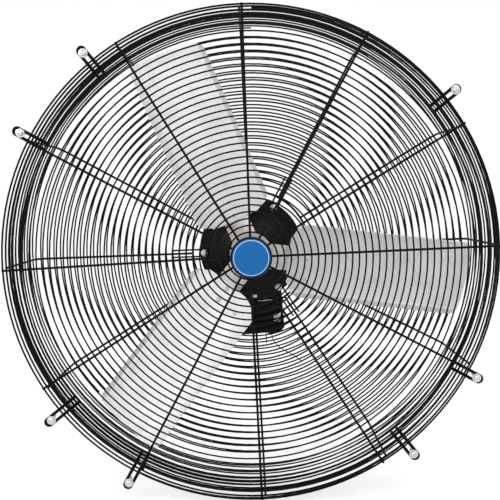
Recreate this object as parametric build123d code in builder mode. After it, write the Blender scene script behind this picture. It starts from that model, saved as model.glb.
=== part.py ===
from build123d import *
from math import asin, cos, degrees, pi, radians, sin, sqrt, tan
import os

# Axial exhaust fan in a wire basket: a three-blade propeller on the shaft of a flange motor,
# between a flat front guard and a deep rear guard, hung in a round opening on wire loops.
# The fan axis runs along Y. The front guard faces -Y, +Z is up, and Y = 0 is the plane in which
# the mounting loops bear on the wall around the opening.

# Driving dimensions, in millimetres and degrees.
# Angles round the fan are clock angles: 0 at the top, growing clockwise seen from the front.
cage_dia = 851.0
cage_depth = 155.0
rim_wire = 5.0
spoke_wire = 3.2
coil_wire = 2.1
first_spoke = 27.0

# Each spoke is a straight wire, welded by hand: its clock angle, and how far it misses the fan
# axis, counted clockwise.
front_spoke_lines = (
    (27.7, -3.0), (58.1, -3.0), (87.4, -0.5), (117.5, -0.5), (146.7, 4.5), (177.0, 3.0),
    (207.7, -0.5), (237.3, 2.0), (266.5, 2.5), (297.7, -2.0), (328.2, -3.0), (357.9, -0.5),
)
rear_spoke_lines = (
    (27.5, 1.0), (58.3, -2.0), (87.3, -1.0), (116.2, 0.0), (146.4, -3.0), (176.7, -1.0),
    (207.2, -2.5), (237.6, -4.0), (267.9, -4.0), (297.9, -1.0), (327.6, -0.5), (357.3, -0.5),
)

# The guards are wound with about seventy turns of thin wire. One turn in four is drawn, in
# straight runs with a corner at each spoke. The heavier rings are drawn in straight runs too,
# and so are the bends of the small loops and the rims of the small round pieces.
turns_per_drawn = 4
coil_runs = 24
ring_runs = 48
bend_runs = 12

front_pitch = 11.55
front_coil_start = 20.8
front_coil_end = 409.0
front_hub_ring_radius = 25.6
front_spoke_start = 16.0
stay_ring_radii = (406.0, 392.0)

rear_pitch = 12.5
rear_hub_ring_radius = 109.0
rear_face_radius = 402.0
rear_coil_start = 115.9
rear_corner = 14.0
wall_turns = 9
wall_foot_gap = 0.5
weld_standoff = 0.35

loop_wire = 5.0
loop_gap = 6.6
loop_inner_radius = 390.0
fixing_radius = 445.3
main_loops = (-39.4, 50.6, 140.6, 230.6)
extra_loops = (-61.7, 118.3, 208.3)
fixing_dia = 6.0
fixing_length = 28.0
fixing_head_dia = 10.8
fixing_head_height = 3.8

spokes_per_motor_loop = 4
motor_loop_spacing = 13.0
motor_loop_reach = 149.0
motor_bolt_radius = 87.5
motor_bolt_dia = 6.0
motor_hex = 10.0
motor_hex_height = 4.0

motor_dia = 164.0
motor_flange_dia = 192.0
motor_flange_thickness = 8.0
motor_length = 112.0
boss_dia = 146.0
boss_front = 110.0
boss_wall = 5.0
nose_dia = 46.0
nose_height = 6.0
bearing_dia = 35.0
bearing_width = 11.0
shaft_dia = 16.0
running_gap = 0.05
air_gap = 0.5
core_length = 84.0
core_bore = 92.0
rear_bell_dia = 156.0
rear_bell_depth = 24.0
rear_bell_wall = 5.0

box_turn = 5.0
box_width = 100.6
box_bottom = -162.0
box_top = -70.0
box_depth = 74.0
box_wall = 2.0
box_corner = 8.0
box_saddle_radius = 99.5
lid_thickness = 1.2
neck_width = 30.0
gland_hex = 15.0
gland_height = 4.0
gland_x = 25.0
gland_depth = 16.0

# The supply lead leaves the gland straight down and then runs to the right and forward, until
# its bare end leans on the back of the rear guard.
lead_dia = 1.8
lead_drop = 8.0
lead_route = (
    (46.8, 175.6, -184.6),
    (58.6, 172.6, -193.4),
    (73.0, 168.8, -200.4),
    (86.2, 163.6, -207.2),
    (97.0, 158.0, -214.6),
)

propeller_dia = 762.0
blade_count = 3
first_blade = 96.3
blade_centre = 43.0
blade_pitch = 22.0
blade_half_width = 64.0
blade_thickness = 1.6
blade_camber = 4.0
blade_root = 66.0
root_half_width = 35.0
shoulder_half_width = 58.5
shoulder_radius = 76.5
blade_start = 88.0
lip_width = 11.5
lip_rise = 6.0
lip_reach = 17.0
tip_corner = 17.0
spider_thickness = 3.0
hub_plate_dia = 92.0
arm_width = 44.0
arm_start = 48.0
pad_half_width = 42.0
pad_end = 108.0
hub_dia = 40.0
hub_length = 24.0

badge_dia = 64.6
badge_thickness = 1.5
badge_cup_dia = 71.4
badge_cup_depth = 8.5
badge_clamp_width = 32.0
badge_clamp_thickness = 2.0

# Depths that follow from the front of the cage to the back of the motor.
rim_front = -loop_wire - rim_wire
spoke_front = rim_front - spoke_wire
coil_front = spoke_front - coil_wire
rear_spoke_back = cage_depth - coil_wire
rear_spoke_front = rear_spoke_back - spoke_wire
rear_spoke_line = rear_spoke_back - spoke_wire / 2
rim_radius = (cage_dia - rim_wire) / 2
rim_flat_radius = (rim_radius - rim_wire / 2) * cos(pi / ring_runs)
wall_foot_radius = rim_flat_radius - spoke_wire / 2
flange_front = rear_spoke_back
flange_back = flange_front + motor_flange_thickness
motor_radius = motor_dia / 2
stator_back = flange_back + motor_length
core_front = flange_back + (motor_length - core_length) / 2
bell_back = stator_back + rear_bell_depth
rear_bearing_back = bell_back - rear_bell_wall
box_front = flange_back
box_back = box_front + box_depth
spider_front = blade_centre + blade_camber + blade_thickness / 2
spider_back = spider_front + spider_thickness
shaft_front = spider_front - shaft_dia / 2
shaft_back = rear_bearing_back

os.makedirs("parts", exist_ok=True)


def finish(piece, label):
    """Name a finished piece and write it."""
    piece.part.label = label
    export_step(piece.part, f"parts/{label}.step")


def facing(depth):
    """Plane square to the fan axis at this depth, looking back at the viewer."""
    return Plane.XZ.offset(-depth)


def clock(angle, radius):
    """Point on a facing plane at a clock angle."""
    return radius * sin(radians(angle)), radius * cos(radians(angle))


def spots(angles, radius):
    """Places on a facing plane at clock angles, each turned so that its X points outwards."""
    return [Location((*clock(angle, radius), 0), (0, 0, 90 - angle)) for angle in angles]


def spoke_spots(lines, distance):
    """Places on a facing plane this far along each spoke, with X pointing outwards along it."""
    return [
        Location((*clock(angle + 90, miss), 0), (0, 0, 90 - angle)) * Location((distance, 0, 0))
        for angle, miss in lines
    ]


def spoke_plane(angle, miss):
    """Plane of a bent spoke, across the cage: X points outwards, Y points to the rear."""
    x, z = clock(angle, 1)
    aside, up = clock(angle + 90, miss)
    return Plane(origin=(aside, 0, up), x_dir=(x, 0, z), z_dir=(-z, 0, x))


def box_plane(depth):
    """Facing plane turned with the junction box."""
    turn = radians(box_turn)
    return Plane(origin=(0, depth, 0), x_dir=(cos(turn), 0, sin(turn)), z_dir=(0, -1, 0))


def ring(radius, wire, runs, turn=0):
    """Ring of straight runs in the open sketch, with one corner at the top before the turn."""
    RegularPolygon(radius + wire / 2, runs, rotation=90 - turn)
    RegularPolygon(radius - wire / 2, runs, rotation=90 - turn, mode=Mode.SUBTRACT)


def loop(width, gap, leg_length, leg_side):
    """Wire loop in the open sketch, closed round the current place, with its legs on one side."""
    RegularPolygon(width / 2, bend_runs)
    Rectangle(leg_length, width, align=(leg_side, Align.CENTER))
    RegularPolygon(gap / 2, bend_runs, mode=Mode.SUBTRACT)
    Rectangle(leg_length, gap, align=(leg_side, Align.CENTER), mode=Mode.SUBTRACT)


def spiral_outline(start, end, pitch, hand):
    """Outline points of a flat wire spiral that opens clockwise for hand 1, or the other way."""
    step = pitch * turns_per_drawn / coil_runs
    places = [
        (first_spoke + hand * 360 / coil_runs * run, start + step * run)
        for run in range(int((end - start) / step) + 1)
    ]
    outer = [clock(angle, radius + coil_wire / 2) for angle, radius in places]
    inner = [clock(angle, radius - coil_wire / 2) for angle, radius in places]
    return outer + inner[::-1]


# Front guard: a spiral of thin wire in front, straight spokes behind it, the stay rings that
# tie the mounting loops to the spokes, and the heavier ring of the rim.
with BuildPart() as front_coil:
    with BuildSketch(facing(spoke_front)):
        with BuildLine():
            Polyline(*spiral_outline(front_coil_start, front_coil_end, front_pitch, -1), close=True)
        make_face()
    extrude(amount=coil_wire)
finish(front_coil, "front_guard_coil")

with BuildPart() as front_spokes:
    spoke_end = cage_dia / 2 - 1
    with BuildSketch(facing(rim_front)):
        with Locations(*spoke_spots(front_spoke_lines, front_spoke_start)):
            Rectangle(spoke_end - front_spoke_start, spoke_wire, align=(Align.MIN, Align.CENTER))
    extrude(amount=spoke_wire)
finish(front_spokes, "front_guard_spokes")

with BuildPart() as stay_rings:
    with BuildSketch(facing(rim_front + rim_wire)):
        for stay_radius in stay_ring_radii:
            ring(stay_radius, rim_wire, ring_runs)
    extrude(amount=rim_wire)
finish(stay_rings, "front_guard_stay_rings")

with BuildPart() as front_hub_ring:
    with BuildSketch(facing(rim_front + spoke_wire)):
        ring(front_hub_ring_radius, spoke_wire, coil_runs, first_spoke)
    extrude(amount=spoke_wire)
finish(front_hub_ring, "front_guard_hub_ring")

with BuildPart() as front_rim:
    with BuildSketch(facing(rim_front + rim_wire)):
        ring(rim_radius, rim_wire, ring_runs)
    extrude(amount=rim_wire)
finish(front_rim, "front_rim_ring")

# Badge in the middle of the front guard: a plain disc on a cup that is clamped to the spokes by
# a plate behind them.
with BuildPart() as badge_cup:
    with BuildSketch(facing(coil_front)):
        RegularPolygon(badge_cup_dia / 2, coil_runs)
    extrude(amount=badge_cup_depth)
finish(badge_cup, "badge_cup")

with BuildPart() as badge_disc:
    with BuildSketch(facing(coil_front - badge_cup_depth)):
        RegularPolygon(badge_dia / 2, coil_runs)
    extrude(amount=badge_thickness)
finish(badge_disc, "badge_disc")

with BuildPart() as badge_clamp:
    with BuildSketch(facing(rim_front + badge_clamp_thickness)):
        Rectangle(badge_clamp_width, badge_clamp_width)
    extrude(amount=badge_clamp_thickness)
finish(badge_clamp, "badge_clamp")

# Mounting loops: bent wires welded between the two rims, each closed round its fixing. Four
# stand at right angles and take the main fixings, and the other three lie between them.
with BuildPart() as mounting_loops:
    with BuildSketch(facing(0)):
        with Locations(*spots(main_loops + extra_loops, fixing_radius)):
            loop(loop_gap + 2 * loop_wire, loop_gap, fixing_radius - loop_inner_radius, Align.MAX)
    extrude(amount=loop_wire)
finish(mounting_loops, "mounting_loops")

with BuildPart() as screws:
    with BuildSketch(facing(-loop_wire)):
        with Locations(*spots(main_loops, fixing_radius)):
            RegularPolygon(fixing_head_dia / 2, bend_runs)
    extrude(amount=fixing_head_height)
    with BuildSketch(facing(-loop_wire)):
        with Locations(*spots(main_loops, fixing_radius)):
            RegularPolygon(fixing_dia / 2, 6)
    extrude(amount=-loop_wire)
    with BuildSketch(facing(0)):
        with Locations(*spots(main_loops, fixing_radius)):
            Circle(fixing_dia / 2)
    extrude(amount=loop_wire - fixing_length)
finish(screws, "main_fixing_screws")

# Rear guard: bent spokes that run out over the face and down the wall of the basket, a spiral
# on the outside of the face, turns round the wall, a heavy rim, and a ring round the motor.
with BuildPart() as rear_spokes:
    wall_slope = (wall_foot_radius - rear_face_radius) / rear_spoke_line
    for angle, miss in rear_spoke_lines:
        foot = sqrt(rim_flat_radius**2 - (abs(miss) + spoke_wire / 2) ** 2) - spoke_wire / 2
        with BuildSketch(spoke_plane(angle, miss)):
            with BuildLine():
                Polyline(
                    (rear_hub_ring_radius - spoke_wire / 2, rear_spoke_line),
                    (rear_face_radius - rear_corner, rear_spoke_line),
                    (rear_face_radius + wall_slope * rear_corner, rear_spoke_line - rear_corner),
                    (foot, wall_foot_gap),
                )
            trace(line_width=spoke_wire)
        extrude(amount=spoke_wire / 2, both=True)
finish(rear_spokes, "rear_guard_spokes")

with BuildPart() as rear_coil:
    rear_coil_end = rear_face_radius - rear_corner
    with BuildSketch(facing(cage_depth)):
        with BuildLine():
            Polyline(*spiral_outline(rear_coil_start, rear_coil_end, rear_pitch, 1), close=True)
        make_face()
    extrude(amount=coil_wire)
finish(rear_coil, "rear_guard_coil")

with BuildPart() as wall_coil:
    wall_spacing = (rear_spoke_line - rear_corner) / wall_turns
    wall_standoff = (spoke_wire + coil_wire) / 2 + weld_standoff
    for turn in range(1, wall_turns, turns_per_drawn):
        turn_radius = wall_foot_radius - wall_slope * turn * wall_spacing + wall_standoff
        on_spokes = [angle + degrees(asin(miss / turn_radius)) for angle, miss in rear_spoke_lines]
        between = [(a + b) / 2 for a, b in zip(on_spokes, on_spokes[1:] + [on_spokes[0] + 360])]
        corners = sorted(on_spokes + between)
        with BuildSketch(facing(turn * wall_spacing)):
            outer = [clock(angle, turn_radius + coil_wire / 2) for angle in corners]
            inner = [clock(angle, turn_radius - coil_wire / 2) for angle in corners]
            Polygon(*outer, align=None)
            Polygon(*inner, align=None, mode=Mode.SUBTRACT)
        extrude(amount=coil_wire)
finish(wall_coil, "rear_guard_wall_turns")

with BuildPart() as rear_rim:
    with BuildSketch(facing(rim_wire)):
        ring(rim_radius, rim_wire, ring_runs)
    extrude(amount=rim_wire)
finish(rear_rim, "rear_rim_ring")

with BuildPart() as rear_hub_ring:
    with BuildSketch(facing(rear_spoke_front)):
        ring(rear_hub_ring_radius, spoke_wire, coil_runs, first_spoke)
    extrude(amount=spoke_wire)
finish(rear_hub_ring, "rear_guard_hub_ring")

# Motor loops: wires that straddle every fourth spoke of the rear guard and reach in over the
# motor flange, each bolted to it at its closed end.
motor_spots = spoke_spots(rear_spoke_lines[::spokes_per_motor_loop], motor_bolt_radius)
with BuildPart() as motor_loops:
    with BuildSketch(facing(rear_spoke_back)):
        with Locations(*motor_spots):
            loop(
                motor_loop_spacing + spoke_wire,
                motor_loop_spacing - spoke_wire,
                motor_loop_reach - motor_bolt_radius,
                Align.MIN,
            )
    extrude(amount=spoke_wire)
finish(motor_loops, "motor_loops")

with BuildPart() as motor_bolts:
    with BuildSketch(facing(rear_spoke_front)):
        with Locations(*motor_spots):
            RegularPolygon(motor_hex / 2, 6, major_radius=False)
    extrude(amount=motor_hex_height)
    with BuildSketch(facing(flange_front)):
        with Locations(*motor_spots):
            RegularPolygon(motor_bolt_dia / 2, bend_runs)
    extrude(amount=spoke_wire)
finish(motor_bolts, "motor_bolts")

# Motor: a cast front bell with a flange and a bearing nose, the wound stator in its shell, and
# a closed rear bell. The rotor runs in two ball bearings.
with BuildPart() as front_bell:
    boss_radius = boss_dia / 2
    nose_front = boss_front - nose_height
    bearing_stop = boss_front + bearing_width
    with BuildSketch(Plane.YX):
        with BuildLine():
            Polyline(
                (nose_front, bearing_dia / 2),
                (nose_front, nose_dia / 2),
                (boss_front, nose_dia / 2),
                (boss_front, boss_radius),
                (flange_front, boss_radius),
                (flange_front, motor_flange_dia / 2),
                (flange_back, motor_flange_dia / 2),
                (flange_back, boss_radius - boss_wall),
                (bearing_stop, boss_radius - boss_wall),
                (bearing_stop, bearing_dia / 2),
                close=True,
            )
        make_face()
    revolve(axis=Axis.Y)
finish(front_bell, "motor_front_bell")

with BuildPart() as stator:
    with BuildSketch(facing(stator_back)):
        Circle(motor_radius)
        RegularPolygon(core_bore / 2, ring_runs, major_radius=False, mode=Mode.SUBTRACT)
    extrude(amount=motor_length)
finish(stator, "motor_stator")

with BuildPart() as rear_bell:
    with BuildSketch(Plane.YX):
        with BuildLine():
            Polyline(
                (stator_back, bearing_dia / 2),
                (stator_back, rear_bell_dia / 2),
                (bell_back, rear_bell_dia / 2),
                (bell_back, 0),
                (shaft_back, 0),
                (shaft_back, bearing_dia / 2),
                close=True,
            )
        make_face()
    revolve(axis=Axis.Y)
finish(rear_bell, "motor_rear_bell")

with BuildPart() as bearings:
    for bearing_back in (boss_front + bearing_width, rear_bearing_back):
        with BuildSketch(facing(bearing_back)):
            RegularPolygon(bearing_dia / 2, coil_runs)
            Circle(shaft_dia / 2 + running_gap, mode=Mode.SUBTRACT)
        extrude(amount=bearing_width)
finish(bearings, "shaft_bearings")

# Rotor: a shaft that carries the propeller at its front end, and the cage core pressed on it.
with BuildPart() as shaft:
    with BuildSketch(facing(shaft_back)):
        Circle(shaft_dia / 2)
    extrude(amount=shaft_back - shaft_front)
finish(shaft, "motor_shaft")

with BuildPart() as rotor:
    with BuildSketch(facing(core_front + core_length)):
        RegularPolygon(core_bore / 2 - air_gap, ring_runs)
        Circle(shaft_dia / 2, mode=Mode.SUBTRACT)
    extrude(amount=core_length)
finish(rotor, "rotor_core")

# Junction box: a folded case under the motor, turned a little with it, with its top cut to a
# saddle. It stands off the stator on a neck that lets the motor wires through. A lid closes its
# front, and the supply lead comes out of a gland in its floor.
with BuildPart() as box:
    with BuildSketch(box_plane(box_back)) as box_outline:
        with Locations((0, box_bottom)):
            Rectangle(box_width, box_top - box_bottom, align=(Align.CENTER, Align.MIN))
        chamfer(box_outline.vertices().group_by(Axis.Y)[0], box_corner)
        Circle(box_saddle_radius, mode=Mode.SUBTRACT)
    extrude(amount=box_depth)
    offset(amount=-box_wall, openings=box.faces().sort_by(Axis.Y)[0])
finish(box, "junction_box")

with BuildPart() as lid:
    with BuildSketch(box_plane(box_front)) as lid_outline:
        with Locations((0, box_bottom)):
            Rectangle(box_width, box_top - box_bottom, align=(Align.CENTER, Align.MIN))
        chamfer(lid_outline.vertices().group_by(Axis.Y)[0], box_corner)
        Circle(box_saddle_radius, mode=Mode.SUBTRACT)
    extrude(amount=lid_thickness)
finish(lid, "junction_box_lid")

with BuildPart() as neck:
    with BuildSketch(box_plane(box_back - box_depth / 3)):
        Rectangle(neck_width, -2 * box_bottom, align=(Align.CENTER, Align.CENTER))
        Circle(box_saddle_radius, mode=Mode.INTERSECT)
        Circle(motor_radius, mode=Mode.SUBTRACT)
        Rectangle(neck_width, -box_bottom, align=(Align.CENTER, Align.MIN), mode=Mode.SUBTRACT)
    extrude(amount=box_depth / 3)
finish(neck, "junction_box_neck")

gland_plane = box_plane(box_front + gland_depth)
gland_end = gland_plane.from_local_coords((gland_x, box_bottom - gland_height, 0))
with BuildPart() as gland:
    with BuildSketch(Plane(origin=gland_end, x_dir=(0, 1, 0), z_dir=gland_plane.y_dir)):
        RegularPolygon(gland_hex / 2, 6, major_radius=False)
    extrude(amount=gland_height)
finish(gland, "cable_gland")

with BuildPart() as lead:
    lead_turn = gland_end - gland_plane.y_dir * lead_drop
    lead_points = [gland_end, lead_turn] + [Vector(*point) for point in lead_route]
    lead_runs = [after - before for before, after in zip(lead_points, lead_points[1:])]
    lead_radii = [
        0.45 * min(before.length, after.length) / tan(radians(before.get_angle(after)) / 2)
        for before, after in zip(lead_runs, lead_runs[1:])
    ]
    with BuildLine() as lead_line:
        FilletPolyline(*lead_points, radius=lead_radii)
    with BuildSketch(Plane(origin=gland_end, z_dir=lead_runs[0])):
        RegularPolygon(lead_dia / 2, 6)
    sweep(path=lead_line.line)
finish(lead, "lead_long")
print("lead points", [tuple(round(value, 2) for value in point) for point in lead_points])
print("lead radii", [round(radius, 1) for radius in lead_radii])
lead_length = sum(edge.length for edge in lead_line.edges())
print("lead length", round(lead_length, 1), "volume", round(lead.part.volume, 1))
print("section times length", round(1.5 * sqrt(3) * (lead_dia / 2) ** 2 * lead_length, 1))

# Propeller: pressed blades with a lip along both long edges, riveted on the front of the pads of
# a flat spider, which is riveted to a hub whose sleeve is clamped to the shaft. Every piece is
# formed pointing straight up and then turned to its place.
chord_plane = Plane(
    origin=(0, blade_centre, 0),
    x_dir=(cos(radians(blade_pitch)), sin(radians(blade_pitch)), 0),
    z_dir=(0, 0, 1),
)
lip_foot = (blade_half_width - lip_width) / cos(radians(blade_pitch))
camber_radius = (lip_foot**2 + blade_camber**2) / (2 * blade_camber)
blade_turns = [first_blade + number * 360 / blade_count for number in range(blade_count)]

with BuildPart() as blade_form:
    with BuildSketch(chord_plane.offset(blade_root - 1)):
        with BuildLine():
            Line((-lip_foot - lip_reach, -lip_rise), (-lip_foot, 0))
            ThreePointArc((-lip_foot, 0), (0, blade_camber), (lip_foot, 0))
            Line((lip_foot, 0), (lip_foot + lip_reach, -lip_rise))
            offset(amount=blade_thickness / 2)
        make_face()
    extrude(amount=propeller_dia / 2)
    with BuildSketch(facing(cage_depth)):
        with BuildLine():
            Polyline(
                (-root_half_width, blade_root),
                (-shoulder_half_width, shoulder_radius),
                (-blade_half_width, blade_start),
                (-blade_half_width, propeller_dia),
                (blade_half_width, propeller_dia),
                (blade_half_width, blade_start),
                (shoulder_half_width, shoulder_radius),
                (root_half_width, blade_root),
                close=True,
            )
        make_face()
        Circle(propeller_dia / 2, mode=Mode.INTERSECT)
        fillet(vertices().group_by(Axis.Y)[-1], tip_corner)
    extrude(amount=2 * cage_depth, mode=Mode.INTERSECT)

for number, turn in enumerate(blade_turns):
    with BuildPart() as blade:
        add(blade_form.part.rotate(Axis.Y, turn))
    finish(blade, f"blade_{number + 1}")


def strip_corners(plane, middle):
    """Corners of the arm's section on a plane, in turn."""
    places = [(1, 1), (-1, 1), (-1, -1), (1, -1)]
    return [
        plane.from_local_coords((side * arm_width / 2, middle + face * spider_thickness / 2, 0))
        for side, face in places
    ]


def bridge(near, far):
    """Solid from one four-cornered section to another, its twisted sides folded the same way."""
    flats = [near[::-1], far]
    for here, there in ((0, 1), (1, 2), (3, 2), (3, 0)):
        flats.append([near[here], near[there], far[there]])
        flats.append([near[here], far[there], far[here]])
    return Solid(Shell([Face(Wire.make_polygon(corners, close=True)) for corners in flats]))


with BuildPart() as arm_form:
    pad_line = blade_camber + (blade_thickness + spider_thickness) / 2
    with BuildSketch(chord_plane.offset(blade_root)):
        with Locations((0, blade_camber - camber_radius)):
            Circle(camber_radius + blade_thickness / 2 + spider_thickness)
            Circle(camber_radius + blade_thickness / 2, mode=Mode.SUBTRACT)
        with Locations((0, pad_line)):
            pad_width = 2 * pad_half_width / cos(radians(blade_pitch))
            Rectangle(pad_width, 4 * spider_thickness, mode=Mode.INTERSECT)
    extrude(amount=pad_end - blade_root)
    arm_foot = Plane.XY.offset(arm_start)
    foot_line = spider_back - spider_thickness / 2
    add(bridge(strip_corners(arm_foot, foot_line), strip_corners(chord_plane.offset(blade_root), pad_line)))

with BuildPart() as spider:
    with BuildSketch(facing(spider_back)):
        Circle(hub_plate_dia / 2)
        with Locations(*spots(blade_turns, 0)):
            Rectangle(arm_start, arm_width, align=(Align.MIN, Align.CENTER))
    extrude(amount=spider_thickness)
    for turn in blade_turns:
        add(arm_form.part.rotate(Axis.Y, turn))
    with BuildSketch(facing(cage_depth)):
        Circle(shaft_dia / 2)
    extrude(amount=2 * cage_depth, mode=Mode.SUBTRACT)
finish(spider, "blade_spider")

with BuildPart() as hub:
    with BuildSketch(facing(spider_back + hub_length)):
        RegularPolygon(hub_dia / 2, coil_runs)
        Circle(shaft_dia / 2, mode=Mode.SUBTRACT)
    extrude(amount=hub_length)
finish(hub, "propeller_hub")
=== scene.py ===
from math import asin, cos, pi, radians, sin, sqrt

import bmesh
import bpy
from mathutils import Matrix, Vector


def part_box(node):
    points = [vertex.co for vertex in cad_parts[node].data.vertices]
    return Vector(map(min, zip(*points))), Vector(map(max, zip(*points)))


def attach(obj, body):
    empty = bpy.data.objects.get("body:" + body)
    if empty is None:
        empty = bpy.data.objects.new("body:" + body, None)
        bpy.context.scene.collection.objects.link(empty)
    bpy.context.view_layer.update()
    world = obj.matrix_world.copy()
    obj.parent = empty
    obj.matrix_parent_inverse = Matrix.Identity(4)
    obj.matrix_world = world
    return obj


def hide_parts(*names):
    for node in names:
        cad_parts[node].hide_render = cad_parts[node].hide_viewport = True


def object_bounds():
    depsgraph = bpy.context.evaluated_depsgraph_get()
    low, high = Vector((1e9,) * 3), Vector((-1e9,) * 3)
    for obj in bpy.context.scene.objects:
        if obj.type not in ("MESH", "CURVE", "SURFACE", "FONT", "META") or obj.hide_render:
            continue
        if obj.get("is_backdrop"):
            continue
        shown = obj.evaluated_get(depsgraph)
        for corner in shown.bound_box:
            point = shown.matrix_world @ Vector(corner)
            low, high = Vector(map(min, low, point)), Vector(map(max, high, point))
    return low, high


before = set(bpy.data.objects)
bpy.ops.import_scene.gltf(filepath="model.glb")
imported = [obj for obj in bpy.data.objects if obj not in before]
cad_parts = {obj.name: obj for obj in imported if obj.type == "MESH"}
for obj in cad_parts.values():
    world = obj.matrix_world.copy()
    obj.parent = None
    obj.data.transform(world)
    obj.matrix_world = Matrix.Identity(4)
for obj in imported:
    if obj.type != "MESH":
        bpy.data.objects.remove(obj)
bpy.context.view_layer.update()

# Front guard coil: one long steel wire wound flat into a spiral, welded to twelve straight spokes
# and coated black, with the faint orange-peel skin of a thick coating. The real one opens
# anticlockwise. This mesh opens clockwise, which is a known fault.


def step(tree, kind, inputs=None, **settings):
    node = tree.nodes.new(kind)
    for key, value in settings.items():
        setattr(node, key, value)
    for key, value in (inputs or {}).items():
        if isinstance(value, bpy.types.NodeSocket):
            tree.links.new(value, node.inputs[key])
        else:
            node.inputs[key].default_value = value
    return node


def sums(tree, operation, *values):
    return step(tree, "ShaderNodeMath", dict(enumerate(values)), operation=operation).outputs["Value"]


def noise(tree, place, scale, detail):
    spots = step(tree, "ShaderNodeTexNoise", {"Vector": place, "Scale": scale, "Detail": detail})
    return spots.outputs["Fac"]


def ranged(tree, value, low=0.0, high=1.0, to_low=0.0, to_high=1.0):
    limits = {"From Min": low, "From Max": high, "To Min": to_low, "To Max": to_high}
    return step(tree, "ShaderNodeMapRange", {"Value": value, **limits}).outputs["Result"]


def mixed(tree, share, first, second):
    first, second = (p if isinstance(p, bpy.types.NodeSocket) else (*p, 1) for p in (first, second))
    return step(tree, "ShaderNodeMix", {0: share, 6: first, 7: second}, data_type="RGBA").outputs[2]


def skin_group():
    tree = bpy.data.node_groups.new("skin", "ShaderNodeTree")
    for label, kind, value in (
        ("Vector", "NodeSocketVector", None),
        ("Cloud scale", "NodeSocketFloat", 12.0),
        ("Grain scale", "NodeSocketFloat", 600.0),
        ("Relief", "NodeSocketFloat", 0.0001),
    ):
        socket = tree.interface.new_socket(label, in_out="INPUT", socket_type=kind)
        if value is not None:
            socket.default_value = value
    for label in ("Cloud", "Grain"):
        tree.interface.new_socket(label, in_out="OUTPUT", socket_type="NodeSocketFloat")
    tree.interface.new_socket("Normal", in_out="OUTPUT", socket_type="NodeSocketVector")
    given = step(tree, "NodeGroupInput").outputs
    cloud = ranged(tree, noise(tree, given["Vector"], given["Cloud scale"], 4.0), 0.3, 0.7)
    grain = ranged(tree, noise(tree, given["Vector"], given["Grain scale"], 3.0), 0.25, 0.75)
    relief = step(tree, "ShaderNodeBump", {"Height": grain, "Distance": given["Relief"], "Strength": 0.6})
    step(tree, "NodeGroupOutput", {"Cloud": cloud, "Grain": grain, "Normal": relief.outputs["Normal"]})
    return tree


skin = skin_group()


def skin_on(tree, place, cloud, grain, relief):
    sizes = {"Vector": place, "Cloud scale": cloud, "Grain scale": grain, "Relief": relief}
    return step(tree, "ShaderNodeGroup", sizes, node_tree=skin).outputs


def bare_material(name):
    material = bpy.data.materials.new(name)
    material.use_nodes = True
    material.node_tree.nodes.clear()
    return material


def surface_of(tree, paint, gloss, metal, normal, shine=0.5):
    sockets = {"Base Color": paint, "Roughness": gloss, "Metallic": metal, "Normal": normal}
    surface = step(tree, "ShaderNodeBsdfPrincipled", {**sockets, "Specular IOR Level": shine})
    step(tree, "ShaderNodeOutputMaterial", {"Surface": surface.outputs["BSDF"]})


def finish_of(name, dark, light, smooth, rough, cloud, grain, relief, metal=0.0, shine=0.5, mark=None):
    material = bare_material(name)
    tree = material.node_tree
    place = step(tree, "ShaderNodeTexCoord").outputs["Object"]
    worked = skin_on(tree, place, cloud, grain, relief)
    paint = mixed(tree, sums(tree, "MULTIPLY", worked["Cloud"], worked["Grain"]), dark, light)
    gloss = ranged(tree, worked["Cloud"], to_low=smooth, to_high=rough)
    if mark:
        paint = mark(tree, paint)
    surface_of(tree, paint, gloss, metal, worked["Normal"], shine)
    return material


black_wire = finish_of(
    "black_wire", dark=(0.002, 0.002, 0.0022), light=(0.005, 0.005, 0.0054), smooth=0.36, rough=0.48,
    cloud=18.0, grain=900.0, relief=0.00006, shine=0.08,
)


def shape_tree(name, sizes):
    tree = bpy.data.node_groups.new(name, "GeometryNodeTree")
    tree.interface.new_socket("Geometry", in_out="OUTPUT", socket_type="NodeSocketGeometry")
    tree.interface.new_socket("Geometry", in_out="INPUT", socket_type="NodeSocketGeometry")
    kinds = {int: "NodeSocketInt", float: "NodeSocketFloat", type(None): "NodeSocketMaterial"}
    for label, value in sizes.items():
        socket = tree.interface.new_socket(label, in_out="INPUT", socket_type=kinds[type(value)])
        if value is not None:
            socket.default_value = value
    return tree, step(tree, "NodeGroupInput").outputs


def hand_out(tree, geometry, material):
    loose = step(tree, "GeometryNodeRealizeInstances", {"Geometry": geometry}).outputs["Geometry"]
    painted = step(tree, "GeometryNodeSetMaterial", {"Geometry": loose, "Material": material})
    step(tree, "NodeGroupOutput", {"Geometry": painted.outputs["Geometry"]})
    return tree


def drawn_wire(tree, line, wire):
    half = sums(tree, "MULTIPLY", wire, 0.5)
    section = step(tree, "GeometryNodeCurvePrimitiveCircle", {"Resolution": 8, "Radius": half})
    sockets = {"Curve": line, "Profile Curve": section.outputs["Curve"], "Fill Caps": True}
    tube = step(tree, "GeometryNodeCurveToMesh", sockets)
    return step(tree, "GeometryNodeSetShadeSmooth", {"Geometry": tube.outputs["Mesh"]}).outputs["Geometry"]


def placed(tree, geometry, turn, place):
    sockets = {"Geometry": geometry, "Rotation": turn, "Translation": place}
    return step(tree, "GeometryNodeTransform", sockets).outputs["Geometry"]


def vector_of(tree, **parts):
    return step(tree, "ShaderNodeCombineXYZ", parts).outputs["Vector"]


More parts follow.
